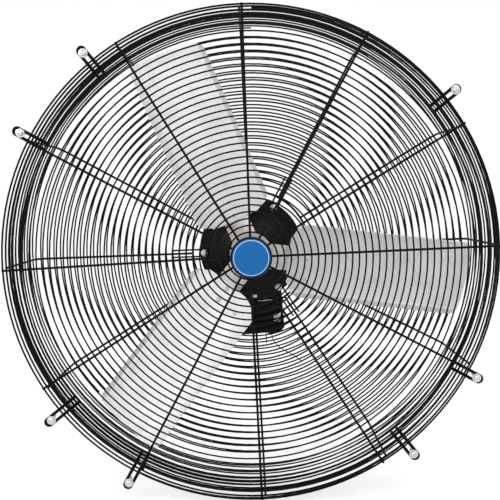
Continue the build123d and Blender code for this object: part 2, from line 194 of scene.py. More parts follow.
def coil_tree():
    tree, given = shape_tree("wound coil", {
        "First clock angle": 0.0, "Start radius": 0.02, "End radius": 0.4, "Turns": 10.0,
        "Front": 0.0, "Depth": 0.0, "Aside": 0.0, "Lift": 0.0, "Anticlockwise": 0,
        "Wire": 0.0025, "Material": None,
    })
    spiral = step(tree, "GeometryNodeCurveSpiral", {
        "Resolution": 96, "Rotations": given["Turns"], "Height": given["Depth"],
        "Start Radius": given["Start radius"], "End Radius": given["End radius"],
        "Reverse": given["Anticlockwise"],
    })
    swing = sums(tree, "RADIANS", sums(tree, "SUBTRACT", given["First clock angle"], 90.0))
    middle = vector_of(tree, X=given["Aside"], Y=given["Front"], Z=given["Lift"])
    stood = placed(tree, spiral.outputs["Curve"], vector_of(tree, X=pi / 2, Y=swing), middle)
    return hand_out(tree, drawn_wire(tree, stood, given["Wire"]), given["Material"])


def blank(name, points=(), edges=()):
    mesh = bpy.data.meshes.new(name)
    mesh.from_pydata(points, edges, [])
    piece = bpy.data.objects.new(name, mesh)
    bpy.context.scene.collection.objects.link(piece)
    return piece


def shape_by(piece, tree, **sizes):
    modifier = piece.modifiers.new(tree.name, "NODES")
    modifier.node_group = tree
    inputs = [socket for socket in tree.interface.items_tree if socket.in_out == "INPUT"]
    sockets = {socket.name.replace(" ", "_").lower(): socket.identifier for socket in inputs}
    for label, value in sizes.items():
        modifier[sockets[label]] = value
    return piece


def settle(piece, body, slot, *nodes):
    bpy.context.view_layer.update()
    ready = piece.evaluated_get(bpy.context.evaluated_depsgraph_get())
    mesh = bpy.data.meshes.new_from_object(ready)
    piece.modifiers.clear()
    piece.data = mesh
    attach(piece, body)
    if nodes:
        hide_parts(*nodes)
    return piece


wound_coil = coil_tree()
coil_wire = 0.0028
front_aside = -0.0010
front_pitch = 0.011545
front_start = 0.02083
front_turns = 34.5
front_coil = blank("front_coil")
shape_by(
    front_coil,
    wound_coil,
    first_clock_angle=27.0,
    start_radius=front_start,
    end_radius=front_start + front_pitch * front_turns,
    turns=front_turns,
    front=-0.01425,
    aside=front_aside,
    wire=coil_wire,
    material=black_wire,
)
settle(front_coil, "frame", "black_wire", "front_guard_coil")

# Front spokes, and the rings of both guards: twelve straight spokes, a small ring under the badge,
# two stay rings behind the spokes that the mounting loops are welded to, and the two rims. Every
# ring is wire bent to a circle and welded shut, and the last one goes round the motor.


def bent_tree():
    tree, given = shape_tree("bent wire", {"Bend radius": 0.005, "Wire": 0.0032, "Material": None})
    line = step(tree, "GeometryNodeMeshToCurve", {"Mesh": given["Geometry"]})
    corners = {"Count": 8, "Radius": given["Bend radius"], "Limit Radius": True}
    bent = step(tree, "GeometryNodeFilletCurve", {"Curve": line.outputs["Curve"], **corners}, mode="POLY")
    return hand_out(tree, drawn_wire(tree, bent.outputs["Curve"], given["Wire"]), given["Material"])


def round_tree():
    tree, given = shape_tree("set out round the fan", {
        "First clock angle": 0.0, "Spacing": 30.0, "Count": 12, "Material": None,
    })
    number = step(tree, "GeometryNodeInputIndex").outputs["Index"]
    share = sums(tree, "MULTIPLY", number, given["Spacing"])
    swing = sums(tree, "RADIANS", sums(tree, "ADD", share, given["First clock angle"]))
    turn = step(tree, "FunctionNodeEulerToRotation", {"Euler": vector_of(tree, Y=swing)})
    places = step(tree, "GeometryNodePoints", {"Count": given["Count"]})
    copies = step(tree, "GeometryNodeInstanceOnPoints", {
        "Points": places.outputs["Points"], "Instance": given["Geometry"],
        "Rotation": turn.outputs["Rotation"],
    })
    return hand_out(tree, copies.outputs["Instances"], given["Material"])


def hoop_tree():
    tree, given = shape_tree("hoop", {
        "Radius": 0.4, "Middle": 0.0, "Aside": 0.0, "Wire": 0.005, "Material": None,
    })
    circle = step(tree, "GeometryNodeCurvePrimitiveCircle", {"Resolution": 128, "Radius": given["Radius"]})
    middle = vector_of(tree, X=given["Aside"], Y=given["Middle"])
    stood = placed(tree, circle.outputs["Curve"], (pi / 2, 0, 0), middle)
    return hand_out(tree, drawn_wire(tree, stood, given["Wire"]), given["Material"])


bent_wire = bent_tree()
round_the_fan = round_tree()
hoop = hoop_tree()
spoke_wire = 0.0040
front_spoke_y = -0.0116
# Each spoke's clock angle in degrees, and by how many millimetres it misses the axis.
front_spoke_lines = (
    (27.7, -3.0), (58.1, -3.0), (87.4, -0.5), (117.5, -0.5), (146.7, 4.5), (177.0, 3.0),
    (207.7, -0.5), (237.3, 2.0), (266.5, 2.5), (297.7, -2.0), (328.2, -3.0), (357.9, -0.5),
)


def on_spoke(line, reach, y):
    angle, miss = radians(line[0]), line[1] / 1000
    return (reach * sin(angle) + miss * cos(angle), y, reach * cos(angle) - miss * sin(angle))


def bent_wires(name, points, per_wire, bend, wire, material):
    starts = range(0, len(points), per_wire)
    edges = [(start + n, start + n + 1) for start in starts for n in range(per_wire - 1)]
    return shape_by(blank(name, points, edges), bent_wire, bend_radius=bend, wire=wire, material=material)


def spoke_set(name, lines, marks, bend):
    points = [on_spoke(line, reach, y) for line in lines for reach, y in marks]
    return bent_wires(name, points, len(marks), bend, spoke_wire, black_wire)


front_marks = ((0.016, front_spoke_y), (0.4243, front_spoke_y))
front_spokes = spoke_set("front_spokes", front_spoke_lines, front_marks, bend=0.005)
settle(front_spokes, "frame", "black_wire", "front_guard_spokes")

rim_wire = 0.0034
stay_wire = 0.0036
stay_y = -0.0078
for name, radius, middle, aside, wire, node in (
    ("front_hub_ring", 0.0256, -0.0084, front_aside, spoke_wire, "front_guard_hub_ring"),
    ("front_rim", 0.4228, -0.0075, front_aside, rim_wire, "front_rim_ring"),
    ("rear_rim", 0.4207, 0.0025, 0.0005, rim_wire, "rear_rim_ring"),
    ("outer_stay_ring", 0.406, stay_y, front_aside, stay_wire, "front_guard_stay_rings"),
    ("inner_stay_ring", 0.392, stay_y, front_aside, stay_wire, "front_guard_stay_rings"),
    ("rear_hub_ring", 0.109, 0.1481, 0.0, spoke_wire, "rear_guard_hub_ring"),
):
    ring = blank(name)
    shape_by(ring, hoop, radius=radius, middle=middle, aside=aside, wire=wire, material=black_wire)
    settle(ring, "frame", "black_wire", node)

# Rear guard: twelve wires bent to a deep basket, a coil welded to the outside of its face, and nine
# more turns down its wall to the rim that meets the front guard. The real coil opens clockwise. This
# mesh opens anticlockwise, the same fault as in front.
rear_spoke_y = 0.1513
face_edge = 0.4020
wall_foot = 0.4181
rear_spoke_lines = (
    (27.5, 1.0), (58.3, -2.0), (87.3, -1.0), (116.2, 0.0), (146.4, -3.0), (176.7, -1.0),
    (207.2, -2.5), (237.6, -4.0), (267.9, -4.0), (297.9, -1.0), (327.6, -0.5), (357.3, -0.5),
)
rear_marks = ((0.1074, rear_spoke_y), (face_edge, rear_spoke_y), (wall_foot, 0.0008))
rear_spokes = spoke_set("rear_spokes", rear_spoke_lines, rear_marks, bend=0.0145)
settle(rear_spokes, "frame", "black_wire", "rear_guard_spokes")

rear_coil = blank("rear_coil")
shape_by(
    rear_coil,
    wound_coil,
    first_clock_angle=0.0,
    start_radius=0.12062,
    end_radius=0.39801,
    turns=22.37,
    front=0.15395,
    aside=0.0015,
    lift=-0.0010,
    anticlockwise=1,
    wire=coil_wire,
    material=black_wire,
)
settle(rear_coil, "frame", "black_wire", "rear_guard_coil")

wall_back = 0.1402
wall_front = 0.0110
wall_slope = (wall_foot - face_edge) / rear_spoke_y
off_spokes = 0.00265
wall_coil = blank("wall_coil")
shape_by(
    wall_coil,
    wound_coil,
    first_clock_angle=0.0,
    start_radius=face_edge + wall_slope * (rear_spoke_y - wall_back) + off_spokes,
    end_radius=face_edge + wall_slope * (rear_spoke_y - wall_front) + off_spokes,
    turns=9.0,
    front=wall_back,
    depth=wall_back - wall_front,
    anticlockwise=1,
    wire=coil_wire,
    material=black_wire,
)
settle(wall_coil, "frame", "black_wire", "rear_guard_wall_turns")

# Mounting loops: heavy wires bent back on themselves and welded to the stay rings between the two
# rims. Each closes round a fixing, and each was bent by hand to a length of its own. Four stand at
# right angles, and three more lie between them.
loop_wire = 0.0057
loop_half = 0.0058
loop_foot = 0.390
loop_y = -0.0025
# Each loop's clock angle and how far out it reaches.
loop_ends = (
    (-39.4, 0.4538), (50.6, 0.4514), (140.6, 0.4546), (230.6, 0.4591),
    (-61.7, 0.4541), (118.3, 0.4513), (208.3, 0.4586),
)
# The bends are a hair tighter than half the loop's width, so that both of them fit.
just_round = 0.998


def wire_loops(name, half, places, y, wire):
    points = []
    for (angle, miss), foot, end in places:
        for side, reach in ((-half, foot), (-half, end), (half, end), (half, foot)):
            points.append(on_spoke((angle, miss + 1000 * side), reach, y))
    return bent_wires(name, points, 4, half * just_round, wire, black_wire)


loop_places = [((angle, 0.0), loop_foot, end) for angle, end in loop_ends]
mounting_loops = wire_loops("mounting_loop_wires", loop_half, loop_places, loop_y, loop_wire)
settle(mounting_loops, "frame", "black_wire", "mounting_loops")

# Fixings: zinc-plated pan-head screws with a cross recess, each with a wide flat washer in front
# of its loop, and a hexagon nut behind it. Each stands at its own place in its loop, turned as it
# came to rest.
zinc_steel = finish_of(
    "zinc_steel", dark=(0.56, 0.56, 0.56), light=(0.84, 0.84, 0.83), smooth=0.20, rough=0.36,
    cloud=260.0, grain=2600.0, relief=0.00004, metal=1.0,
)


def eased(piece, width, angle):
    if width:
        rounded = piece.modifiers.new("edges", "BEVEL")
        rounded.width = width
        rounded.segments = 2
        rounded.angle_limit = radians(angle)
    return piece


def turned(name, profile, segments, material, bevel=0.0):
    mesh = bmesh.new()
    turns = [2 * pi * n / segments for n in range(segments)]
    rings = []
    for depth, radius in profile:
        if radius < 1e-6:
            rings.append([mesh.verts.new((0, depth, 0))] * segments)
            continue
        rings.append([mesh.verts.new((radius * sin(turn), depth, radius * cos(turn))) for turn in turns])
    for here, there in zip(rings, rings[1:]):
        for n in range(segments):
            corners = []
            for vert in (here[n], here[(n + 1) % segments], there[(n + 1) % segments], there[n]):
                if vert not in corners:
                    corners.append(vert)
            if len(corners) > 2:
                mesh.faces.new(corners)
    bmesh.ops.recalc_face_normals(mesh, faces=mesh.faces)
    for face in mesh.faces:
        face.smooth = True
    piece = blank(name)
    mesh.to_mesh(piece.data)
    mesh.free()
    piece.data.materials.append(material)
    return eased(piece, bevel, 35)


def block(name, sides, low, high, material, bevel=0.0):
    piece = blank(name)
    mesh = bmesh.new()
    for y in (low, high):
        mesh.faces.new([mesh.verts.new((x, y, z)) for x, z in sides])
    front, back = mesh.faces
    pairs = list(zip(front.verts[:], back.verts[:]))
    for n, (a, b) in enumerate(pairs):
        c, d = pairs[(n + 1) % len(pairs)]
        mesh.faces.new((a, b, d, c))
    bmesh.ops.recalc_face_normals(mesh, faces=mesh.faces)
    mesh.to_mesh(piece.data)
    mesh.free()
    piece.data.materials.append(material)
    return eased(piece, bevel, 30)


def hexagon(across):
    reach = across / 2 / cos(pi / 6)
    return [(reach * sin(n * pi / 3), reach * cos(n * pi / 3)) for n in range(6)]


def crisp(piece, angle=40.0):
    for face in piece.data.polygons:
        face.use_smooth = True
    piece.data.set_sharp_from_angle(angle=radians(angle))
    return piece


def moved(piece, place):
    piece.data.transform(Matrix.Translation(place))
    return piece


def spun(piece, angle):
    piece.data.transform(Matrix.Rotation(radians(angle), 4, "Y"))
    return piece


def twin_of(piece):
    twin = piece.copy()
    twin.data = piece.data.copy()
    bpy.context.scene.collection.objects.link(twin)
    return twin


def joined(name, parts):
    mesh = bmesh.new()
    bpy.context.view_layer.update()
    graph = bpy.context.evaluated_depsgraph_get()
    for part in parts:
        mesh.from_mesh(part.evaluated_get(graph).to_mesh())
    whole = blank(name)
    mesh.to_mesh(whole.data)
    mesh.free()
    whole.data.materials.append(parts[0].data.materials[0])
    for part in parts:
        bpy.data.objects.remove(part)
    return whole


head_front = -0.0102
head_back = head_front + 0.0038
dome = [
    (head_front, 0.0), (head_front + 0.0002, 0.0020), (head_front + 0.0009, 0.0038),
    (head_front + 0.0021, 0.0050), (head_front + 0.0031, 0.0054), (head_back, 0.0054), (head_back, 0.0),
]
recess_reach, recess_half, recess_depth, cutter_over = 0.0026, 0.0006, 0.0016, 0.001
recess_sides = [
    (-recess_reach, -recess_half), (recess_reach, -recess_half),
    (recess_reach, recess_half), (-recess_reach, recess_half),
]
screw_head = turned("screw_head", dome, segments=32, material=zinc_steel)
for angle in (45, 135):
    low, high = head_front - cutter_over, head_front + recess_depth
    cutter = spun(block("cutter", recess_sides, low, high, zinc_steel), angle)
    carve = screw_head.modifiers.new("recess", "BOOLEAN")
    carve.operation = "DIFFERENCE"
    carve.object = cutter
    carve.solver = "EXACT"
    bpy.context.view_layer.update()
    ready = screw_head.evaluated_get(bpy.context.evaluated_depsgraph_get())
    cut_mesh = bpy.data.meshes.new_from_object(ready)
    screw_head.modifiers.clear()
    screw_head.data = cut_mesh
    bpy.data.objects.remove(cutter)
washer_front, washer_back, washer_hole, washer_radius = -0.0064, -0.0051, 0.0031, 0.0077
washer_profile = [
    (washer_front, washer_hole), (washer_front, washer_radius), (washer_back, washer_radius),
    (washer_back, washer_hole), (washer_front, washer_hole),
]
washer = turned("washer", washer_profile, segments=40, bevel=0.0004, material=zinc_steel)
shank_profile = [(-0.0066, 0.0), (-0.0066, 0.0029), (0.0223, 0.0029), (0.0230, 0.0022), (0.0230, 0.0)]
shank = turned("shank", shank_profile, segments=16, material=zinc_steel)
nut_across, nut_front, nut_back = 0.010, 0.0001, 0.0050
nut = block("nut", hexagon(nut_across), nut_front, nut_back, zinc_steel, bevel=0.0005)
# Each fixing's clock angle, its distance from the axis and the turn of its recess.
main_places = ((-39.4, 0.4427, 12), (50.6, 0.4434, 50), (140.6, 0.4444, 75), (230.6, 0.4470, 31))
extra_places = ((-61.7, 0.4417, 64), (118.3, 0.4412, 20), (208.3, 0.4484, 40))
for name, places, nodes in (
    ("main_fixings", main_places, ["main_fixing_screws"]),
    ("extra_fixings", extra_places, []),
):
    parts = []
    for angle, reach, turn in places:
        for source in (screw_head, washer, shank, nut):
            parts.append(moved(spun(twin_of(source), turn), on_spoke((angle, 0.0), reach, 0)))
    crisp(settle(joined(name, parts), "frame", "zinc_steel", *nodes))
for source in (washer, shank, nut):
    bpy.data.objects.remove(source)

# Motor loops: three wires welded to the rear spokes, that reach in over the motor flange and
# close round a hexagon bolt with a washer under its head.
motor_lines = rear_spoke_lines[::4]
motor_loop_wire = 0.0032
bolt_radius = 0.0875
bolt_loop_half = 0.0065
bolt_loop_foot = 0.149
flange_front = 0.1529
bolt_places = [(line, bolt_loop_foot, bolt_radius - bolt_loop_half) for line in motor_lines]
motor_loops = wire_loops("motor_loop_wires", bolt_loop_half, bolt_places, rear_spoke_y, motor_loop_wire)
settle(motor_loops, "frame", "black_wire", "motor_loops")
bolt_head = (0.1445, 0.1485)
bolt_washer = [(0.1485, 0.0), (0.1485, 0.0065), (0.1497, 0.0065), (0.1497, 0.0)]
bolt_shank = [(0.1495, 0.0), (0.1495, 0.003), (flange_front, 0.003), (flange_front, 0.0)]
bolt_parts = []
for line in motor_lines:
    place = on_spoke(line, bolt_radius, 0)
    for part in (
        block("bolt_head", hexagon(nut_across), *bolt_head, zinc_steel, bevel=0.0005),
        turned("bolt_washer", bolt_washer, segments=32, bevel=0.0003, material=zinc_steel),
        turned("bolt_shank", bolt_shank, segments=16, material=zinc_steel),
    ):
        bolt_parts.append(moved(part, place))
bolts = joined("motor_bolt_set", bolt_parts)
crisp(settle(bolts, "frame", "zinc_steel", "motor_bolts"))

# Motor: a cast front bell with a round flange and a bearing nose, a stator body, and a closed
# rear bell, all sprayed satin black over the slightly rough skin of the casting.
black_motor = finish_of(
    "black_motor", dark=(0.002, 0.002, 0.0023), light=(0.006, 0.006, 0.0065), smooth=0.26, rough=0.42,
    cloud=30.0, grain=420.0, relief=0.00012, shine=0.16,
)
flange_back = 0.1609
stator_back = 0.2729
bell_profile = [
    (0.1209, 0.0175), (0.1040, 0.0175), (0.1040, 0.0212), (0.1050, 0.0224), (0.1085, 0.0230),
    (0.1100, 0.0250), (0.1100, 0.0560), (0.1104, 0.0565), (0.1112, 0.0566), (0.1116, 0.0574),
    (0.1116, 0.0716), (0.1119, 0.0725), (0.1128, 0.0730),
    (0.1500, 0.0730), (0.1515, 0.0732), (0.1526, 0.0738), (flange_front, 0.0750),
    (flange_front, 0.0948), (0.1541, 0.0960), (0.1597, 0.0960), (flange_back, 0.0948),
    (flange_back, 0.0680), (0.1209, 0.0680), (0.1209, 0.0175),
]
stator_profile = [
    (flange_back, 0.0462), (flange_back, 0.0815), (0.1750, 0.0815), (0.1758, 0.0820),
    (0.2580, 0.0820), (0.2588, 0.0815), (stator_back, 0.0815), (stator_back, 0.0462), (flange_back, 0.0462),
]
rear_profile = [
    (stator_back, 0.0178), (stator_back, 0.0780), (0.2850, 0.0778), (0.2910, 0.0755), (0.2955, 0.0710),
    (0.2969, 0.0660), (0.2969, 0.0300), (0.2950, 0.0285), (0.2950, 0.0), (0.2920, 0.0),
    (0.2920, 0.0178), (stator_back, 0.0178),
]
for name, profile, node in (
    ("front_bell", bell_profile, "motor_front_bell"),
    ("stator_body", stator_profile, "motor_stator"),
    ("rear_bell", rear_profile, "motor_rear_bell"),
):
    shell = turned(name, profile, segments=96, material=black_motor)
    crisp(settle(shell, "frame", "black_motor", node))

# Junction box: a folded steel box under the motor, with its top edge cut to a saddle, and a lid
# held by a bright clip plate and screw. A bright tab on the flange and a bright strip along the
# saddle show beside it. The supply leads come out of its floor.
box_turn = -5
box_half, box_floor, box_corner, saddle = 0.0503, -0.162, 0.008, 0.0995
lid_front, box_back = 0.1597, 0.2349
spread = asin(box_half / saddle)
saddle_turns = [spread - 2 * spread * n / 24 for n in range(25)]
box_sides = [
    (-box_half, box_floor + box_corner), (-box_half + box_corner, box_floor),
    (box_half - box_corner, box_floor), (box_half, box_floor + box_corner),
]
box_sides += [(saddle * sin(turn), -saddle * cos(turn)) for turn in saddle_turns]
for name, front, back, bevel, node in (
    ("box_body", flange_back, box_back, 0.0008, "junction_box"),
    ("box_lid", lid_front, flange_back, 0.0004, "junction_box_lid"),
):
    case = spun(block(name, box_sides, front, back, black_motor, bevel=bevel), box_turn)
    crisp(settle(case, "frame", "black_motor", node))

clip_place = (0.0496, lid_front, -0.1290)
clip_half, clip_tall, clip_cut, clip_front = 0.0066, 0.0093, 0.0018, -0.0012
clip_screw_size = 0.72
clip_sides = [
    (-clip_half, clip_cut - clip_tall), (clip_cut - clip_half, -clip_tall),
    (clip_half - clip_cut, -clip_tall), (clip_half, clip_cut - clip_tall),
    (clip_half, clip_tall - clip_cut), (clip_half - clip_cut, clip_tall),
    (clip_cut - clip_half, clip_tall), (-clip_half, clip_tall - clip_cut),
]
clip = block("lid_clip", clip_sides, clip_front, 0.0, zinc_steel, bevel=0.0003)
clip_screw = twin_of(screw_head)
clip_screw.data.transform(Matrix.Scale(clip_screw_size, 4))
moved(clip_screw, (0, clip_front - max(vert.co.y for vert in clip_screw.data.vertices), 0))
clip_parts = [moved(part, clip_place) for part in (clip, clip_screw)]
crisp(settle(joined("lid_clip_set", clip_parts), "frame", "zinc_steel"))
bpy.data.objects.remove(screw_head)

tab_place = (0.0066, 0, -0.0888)
tab_half, tab_tall, tab_thick = 0.0047, 0.0027, 0.0010
tab_sides = [(-tab_half, -tab_tall), (tab_half, -tab_tall), (tab_half, tab_tall), (-tab_half, tab_tall)]
flange_tab = block("flange_tab", tab_sides, flange_front - tab_thick, flange_front, zinc_steel, bevel=0.0004)
crisp(settle(moved(flange_tab, tab_place), "frame", "zinc_steel"))

strip_front = 0.1587
strip_sides = [
    (0.0125, -0.0996), (0.0260, -0.0990), (0.0395, -0.0972),
    (0.0392, -0.0962), (0.0260, -0.0972), (0.0130, -0.0986),
]
strip = block("saddle_strip", strip_sides, strip_front, lid_front, zinc_steel, bevel=0.0002)
crisp(settle(strip, "frame", "zinc_steel"))

# Supply leads: two thin black wires out of the floor of the box. The long one bends off to the
# right until it leans on the guard, and the short one is a cut end.
lead_plastic = finish_of(
    "lead_plastic", dark=(0.006, 0.006, 0.006), light=(0.014, 0.014, 0.014), smooth=0.40, rough=0.55,
    cloud=60.0, grain=1500.0, relief=0.00003, shine=0.2,
)
lead_route = (
    (0.03937, 0.1769, -0.16319), (0.04007, 0.1769, -0.17116), (0.0468, 0.1756, -0.1846),
    (0.0586, 0.1726, -0.1934), (0.0730, 0.1688, -0.2004), (0.0862, 0.1636, -0.2072),
    (0.0970, 0.1580, -0.2146),
)
lead_radius = 0.0009
lead_curve = bpy.data.curves.new("lead_line", "CURVE")
lead_curve.dimensions = "3D"
lead_curve.bevel_depth = lead_radius
lead_curve.bevel_resolution = 3
lead_curve.use_fill_caps = True
route = lead_curve.splines.new("NURBS")
route.points.add(len(lead_route) - 1)
for point, place in zip(route.points, lead_route):
    point.co = (*place, 1)
route.order_u = 3
route.use_endpoint_u = True
route.resolution_u = 12
lead_curve.materials.append(lead_plastic)
long_lead = bpy.data.objects.new("long_lead", lead_curve)
bpy.context.scene.collection.objects.link(long_lead)
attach(long_lead, "frame")
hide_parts("lead_long")

cut_route = [(0.0289, 0.1722, -0.1595), (0.0291, 0.1722, -0.1700), (0.0299, 0.1718, -0.1817)]
cut_end = bent_wires(
    "cut_lead", cut_route, len(cut_route), bend=0.004, wire=2 * lead_radius, material=lead_plastic
)
settle(cut_end, "frame", "lead_plastic")

# Propeller: three blades pressed from aluminium sheet, each with a lip along both long edges, and
# riveted on the front of a steel spider. The material paints one lip paler than the blade as painted
# light and the other darker as painted shade, with a painted highlight along each fold.
blades = 3
first_blade, blade_spacing = 96.3, 120.0
pitch = radians(22.0)
blade_centre = 0.043
half_width = 0.0668
lip_width = 0.0118
thickness = 0.0016
camber = 0.004
foot = (half_width - lip_width) / cos(pitch)
lip_slope = 6.0 / 17.0
bow = (foot**2 + camber**2) / (2 * camber)
tip_radius = 0.381
tip_corner = 0.017
chart_step = 0.3


def blade_metal():
    material = bare_material("blade_aluminium")
    tree = material.node_tree
    chart = step(tree, "ShaderNodeUVMap", uv_map="sheet").outputs["UV"]
    sockets = {"Vector": chart, "Rotation": (0, 0, radians(24)), "Scale": (34.0, 5.0, 1.0)}
    rolled = step(tree, "ShaderNodeMapping", sockets).outputs["Vector"]
    worked = skin_on(tree, rolled, cloud=1.0, grain=14.0, relief=0.00003)
    patches = ranged(tree, noise(tree, chart, 26.0, 3.0), 0.35, 0.65)
    blend = sums(tree, "MULTIPLY", worked["Cloud"], patches)
    sheet = mixed(tree, blend, (0.93, 0.93, 0.92), (0.77, 0.77, 0.76))
    side = step(tree, "ShaderNodeSeparateXYZ", {"Vector": chart}).outputs["X"]
    across = sums(tree, "WRAP", side, chart_step / 2, -chart_step / 2)
    off_fold = sums(tree, "ABSOLUTE", sums(tree, "SUBTRACT", sums(tree, "ABSOLUTE", across), foot))
    # Painted light and shade on the lips: the darker lip is painted shade, the paler lip is painted light,
    # and a painted highlight runs along each fold.
    painted_lip_shade = ranged(tree, across, foot + 0.0020, foot + 0.0050, to_high=0.6)
    painted_lip_light = ranged(tree, across, -foot - 0.0030, -foot, to_low=0.85, to_high=0.0)
    painted_fold_highlight = ranged(tree, off_fold, 0.0008, 0.0022, to_low=0.7, to_high=0.0)
    shaded = mixed(tree, painted_lip_shade, sheet, (0.50, 0.50, 0.495))
    lips_light_and_shade = mixed(tree, sums(tree, "MAXIMUM", painted_lip_light, painted_fold_highlight), shaded, (0.97, 0.97, 0.96))
    gloss = ranged(tree, worked["Grain"], to_low=0.44, to_high=0.58)
    surface_of(tree, lips_light_and_shade, gloss, metal=0.5, normal=worked["Normal"])
    return material


def sheet_line(chord):
    if abs(chord) > foot:
        return -(abs(chord) - foot) * lip_slope
    return camber - bow + sqrt(bow**2 - chord**2)


def on_blade(chord, height):
    return chord * cos(pitch) - height * sin(pitch), blade_centre + chord * sin(pitch) + height * cos(pitch)


def root_line(across):
    marks = ((0.0, 0.066), (0.037, 0.066), (0.0605, 0.0765), (half_width, 0.089))
    for (a, low), (b, high) in zip(marks, marks[1:]):
        if across <= b:
            return low + (high - low) * (across - a) / (b - a)
    return marks[-1][1]


def tip_line(across):
    corner_x = half_width - tip_corner
    corner_z = sqrt((tip_radius - tip_corner) ** 2 - corner_x**2)
    if across > corner_x * tip_radius / (tip_radius - tip_corner):
        return corner_z + sqrt(max(tip_corner**2 - (across - corner_x) ** 2, 0.0))
    return sqrt(tip_radius**2 - across**2)


def grid_faces(lines, marks, turned_over=False):
    faces = []
    for line in range(lines - 1):
        for mark in range(marks - 1):
            a = line * marks + mark
            b = a + marks
            faces.append((a, a + 1, b + 1, b) if turned_over else (a, b, b + 1, a + 1))
    return faces


def sheet_wall(piece, thick):
    wall = piece.modifiers.new("sheet", "SOLIDIFY")
    wall.thickness = thick
    wall.offset = 0


# A chord runs across the flat sheet. Seen from the front, both edges stand half_width off the middle.
lead = (half_width - foot * lip_slope * sin(pitch)) / (cos(pitch) - lip_slope * sin(pitch))
trail = (half_width + foot * lip_slope * sin(pitch)) / (cos(pitch) + lip_slope * sin(pitch))
bend = (-0.0012, -0.0004, 0.0004, 0.0012)
chords = [-lead + s for s in (0.0, 0.0003, 0.001, 0.003, 0.006, 0.010)]
chords += [-foot + s for s in bend] + [foot * (n - 9) / 10 for n in range(19)] + [foot + s for s in bend]
chords += [trail - s for s in (0.007, 0.004, 0.002, 0.0008, 0.0)]
rows = 20
blade_aluminium = blade_metal()
blade_asides = (0.0028, -0.0012, 0.0028)
for number, aside in enumerate(blade_asides):
    points, chart = [], []
    for chord in chords:
        x, y = on_blade(chord, sheet_line(chord))
        low, high = root_line(abs(x)), tip_line(min(abs(x), half_width))
        for row in range(rows + 1):
            z = low + (high - low) * row / rows
            points.append((x + aside, y, z))
            chart.append((chord + chart_step * number, z))
    blade = blank(f"blade_sheet_{number + 1}")
    blade.data.from_pydata(points, [], grid_faces(len(chords), rows + 1))
    layer = blade.data.uv_layers.new(name="sheet")
    for loop in blade.data.loops:
        layer.data[loop.index].uv = chart[loop.vertex_index]
    spun(blade, first_blade + blade_spacing * number)
    blade.data.materials.append(blade_aluminium)
    sheet_wall(blade, thickness)
    crisp(settle(blade, "propeller", "blade_aluminium", f"blade_{number + 1}"), angle=35)

# Spider, hub, shaft and rotor: a round steel plate, browner on its flat faces, with three arms that
# twist to the blades' slope and end in wide pads, each held to its blade by four rivets, then a
# turned steel hub, and the ground shaft with the cage core pressed on it.


def taupe_middle(tree, paint):
    normal = step(tree, "ShaderNodeNewGeometry").outputs["True Normal"]
    sockets = {0: normal, 1: (0, 1, 0)}
    along_axis = step(tree, "ShaderNodeVectorMath", sockets, operation="DOT_PRODUCT").outputs["Value"]
    flat = ranged(tree, sums(tree, "ABSOLUTE", along_axis), 0.9970, 0.9992)
    return mixed(tree, flat, paint, (0.76, 0.70, 0.64))


spider_steel = finish_of(
    "spider_steel", dark=(0.66, 0.655, 0.64), light=(0.84, 0.835, 0.82), smooth=0.36, rough=0.55,
    cloud=40.0, grain=900.0, relief=0.00006, metal=0.6, mark=taupe_middle,
)
bright_steel = finish_of(
    "bright_steel", dark=(0.48, 0.48, 0.48), light=(0.66, 0.66, 0.65), smooth=0.18, rough=0.32,
    cloud=120.0, grain=1800.0, relief=0.00003, metal=1.0,
)
core_steel = finish_of(
    "core_steel", dark=(0.24, 0.24, 0.25), light=(0.38, 0.38, 0.39), smooth=0.38, rough=0.55,
    cloud=50.0, grain=500.0, relief=0.00008, metal=1.0,
)


def repaint(node, material):
    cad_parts[node].data.materials.clear()
    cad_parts[node].data.materials.append(material)


for node, material in (
    ("propeller_hub", spider_steel),
    ("motor_shaft", bright_steel),
    ("rotor_core", core_steel),
    ("shaft_bearings", bright_steel),
    ("junction_box_neck", black_motor),
):
    repaint(node, material)

plate_line = 0.0493
plate_thickness = 0.0030
plate_front, plate_back = plate_line - 0.0015, plate_line + 0.0015
plate_profile = [
    (plate_front, 0.0081), (plate_front, 0.0372), (plate_line - 0.0012, 0.0375),
    (plate_back, 0.0375), (plate_back, 0.0081), (plate_front, 0.0081),
]
arm_half, pad_half = 0.0220, 0.0420
arm_start, arm_foot, pad_start, pad_end = 0.0300, 0.0655, 0.0665, 0.1080
fold_middle, fold_slant = 0.0450, -0.62
pad_gap = 0.0001
# The arms are a hair thinner than the plate, so that their faces don't lie in its faces.
arm_under = 0.00004


# The slope moves a pad sideways behind its blade, so its place is found in a few rounds.
def pad_back(across):
    height = 0.006
    for _ in range(4):
        chord = (across + height * sin(pitch)) / cos(pitch)
        height = sheet_line(chord) + (thickness + plate_thickness) / 2 + pad_gap
    return on_blade(chord, height)[1]


shoulder_rows = [0.0657, 0.0661, 0.0664]
arm_rows = [arm_start + (arm_foot - arm_start) * n / 28 for n in range(29)] + shoulder_rows
arm_rows += [pad_start + (pad_end - pad_start) * n / 6 for n in range(7)]
arm_columns = 24
points = []
for along in arm_rows:
    step_out = min(max((along - arm_foot) / (pad_start - arm_foot), 0.0), 1.0)
    half = arm_half + (pad_half - arm_half) * step_out
    for column in range(arm_columns + 1):
        across = half * (2 * column / arm_columns - 1)
        fold = fold_middle + fold_slant * across
        bent = min(max((along - fold) / (arm_foot - fold), 0.0), 1.0) if along < arm_foot else 1.0
        points.append((across, plate_line + (pad_back(across) - plate_line) * bent, along))
arm = blank("arm_sheet")
arm.data.from_pydata(points, [], grid_faces(len(arm_rows), arm_columns + 1, turned_over=True))
arm.data.materials.append(spider_steel)
sheet_wall(arm, plate_thickness - arm_under)
spider_parts = [turned("hub_plate", plate_profile, segments=80, material=spider_steel)]
spider_parts += [spun(twin_of(arm), first_blade + blade_spacing * number) for number in range(blades)]
bpy.data.objects.remove(arm)
spider = joined("blade_spider_plate", spider_parts)
